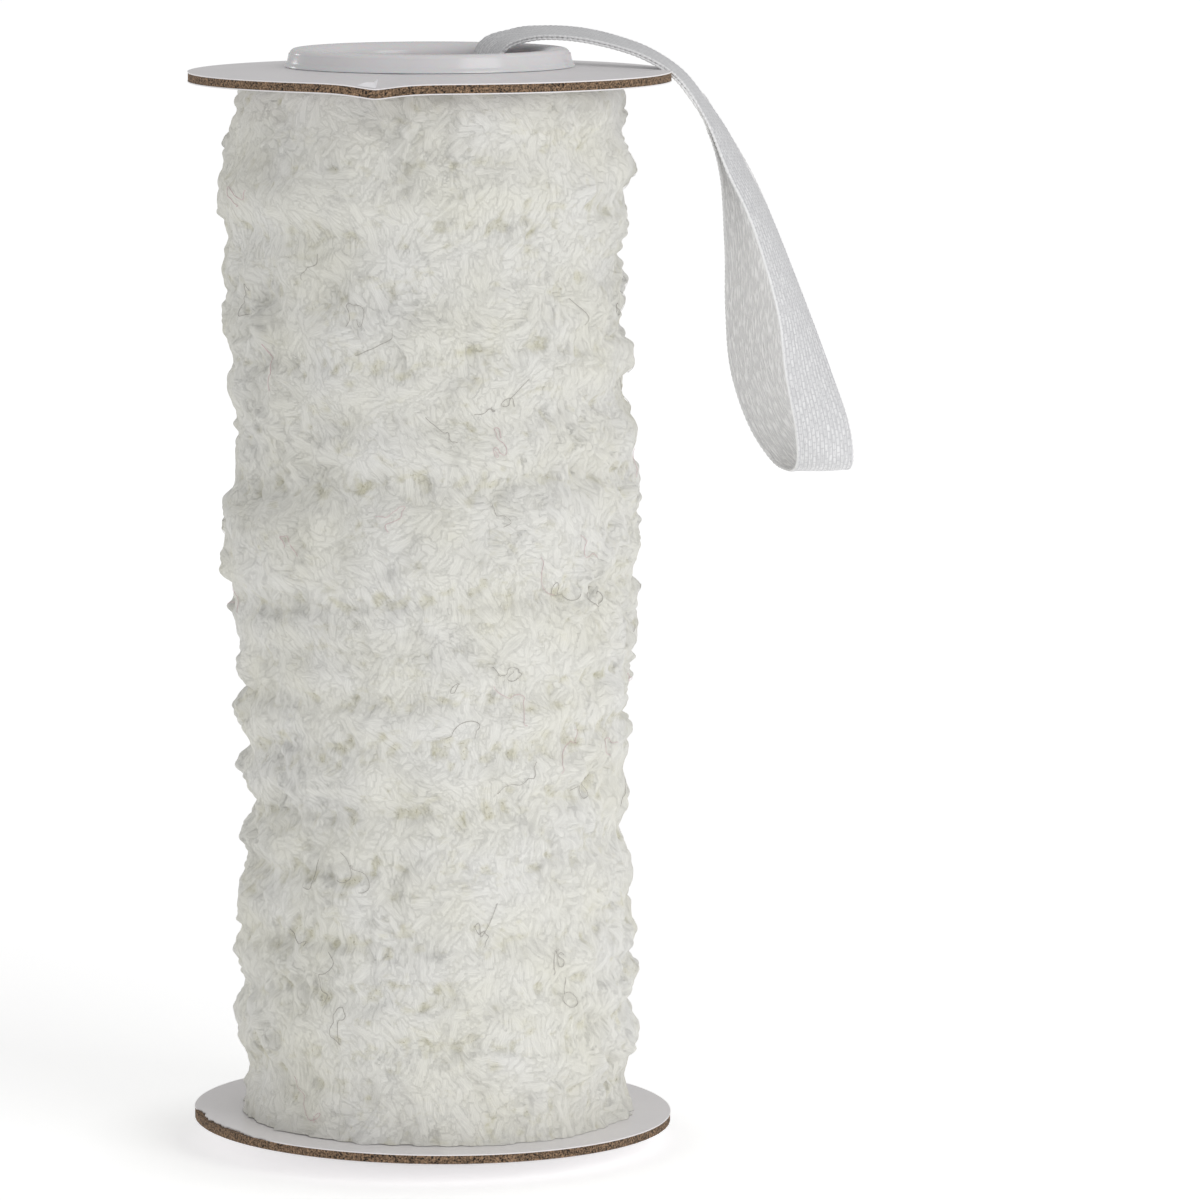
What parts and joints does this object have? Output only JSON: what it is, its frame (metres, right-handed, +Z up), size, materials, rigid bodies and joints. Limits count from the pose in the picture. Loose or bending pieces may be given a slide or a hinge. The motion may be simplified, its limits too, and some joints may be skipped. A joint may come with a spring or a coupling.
{
  "type": "wired yarn trim on a spool",
  "caption": "Fluffy wired yarn trim wound side by side on a flanged card and plastic spool, with a satin ribbon loop to hang it by",
  "frame": {"origin": "on the spool's axis, in the plane that it stands on", "axes": "+Z up along the spool's axis, -Y towards the viewer, the ribbon hangs over the card's edge at +X"},
  "size_m": [0.0702, 0.0508, 0.1185],
  "materials": {
    "core_plastic": "smooth white moulded plastic",
    "card": "brown pulp board faced with smooth white paper",
    "yarn": "fluffy off-white brushed pile",
    "ribbon": "white woven satin with corded edges"
  },
  "bodies": {
    "root": {"spool_core": "core_plastic", "card_lower": "card", "card_upper": "card", "trim_winding": "yarn", "ribbon_loop": "ribbon"}
  },
  "joints": []
}
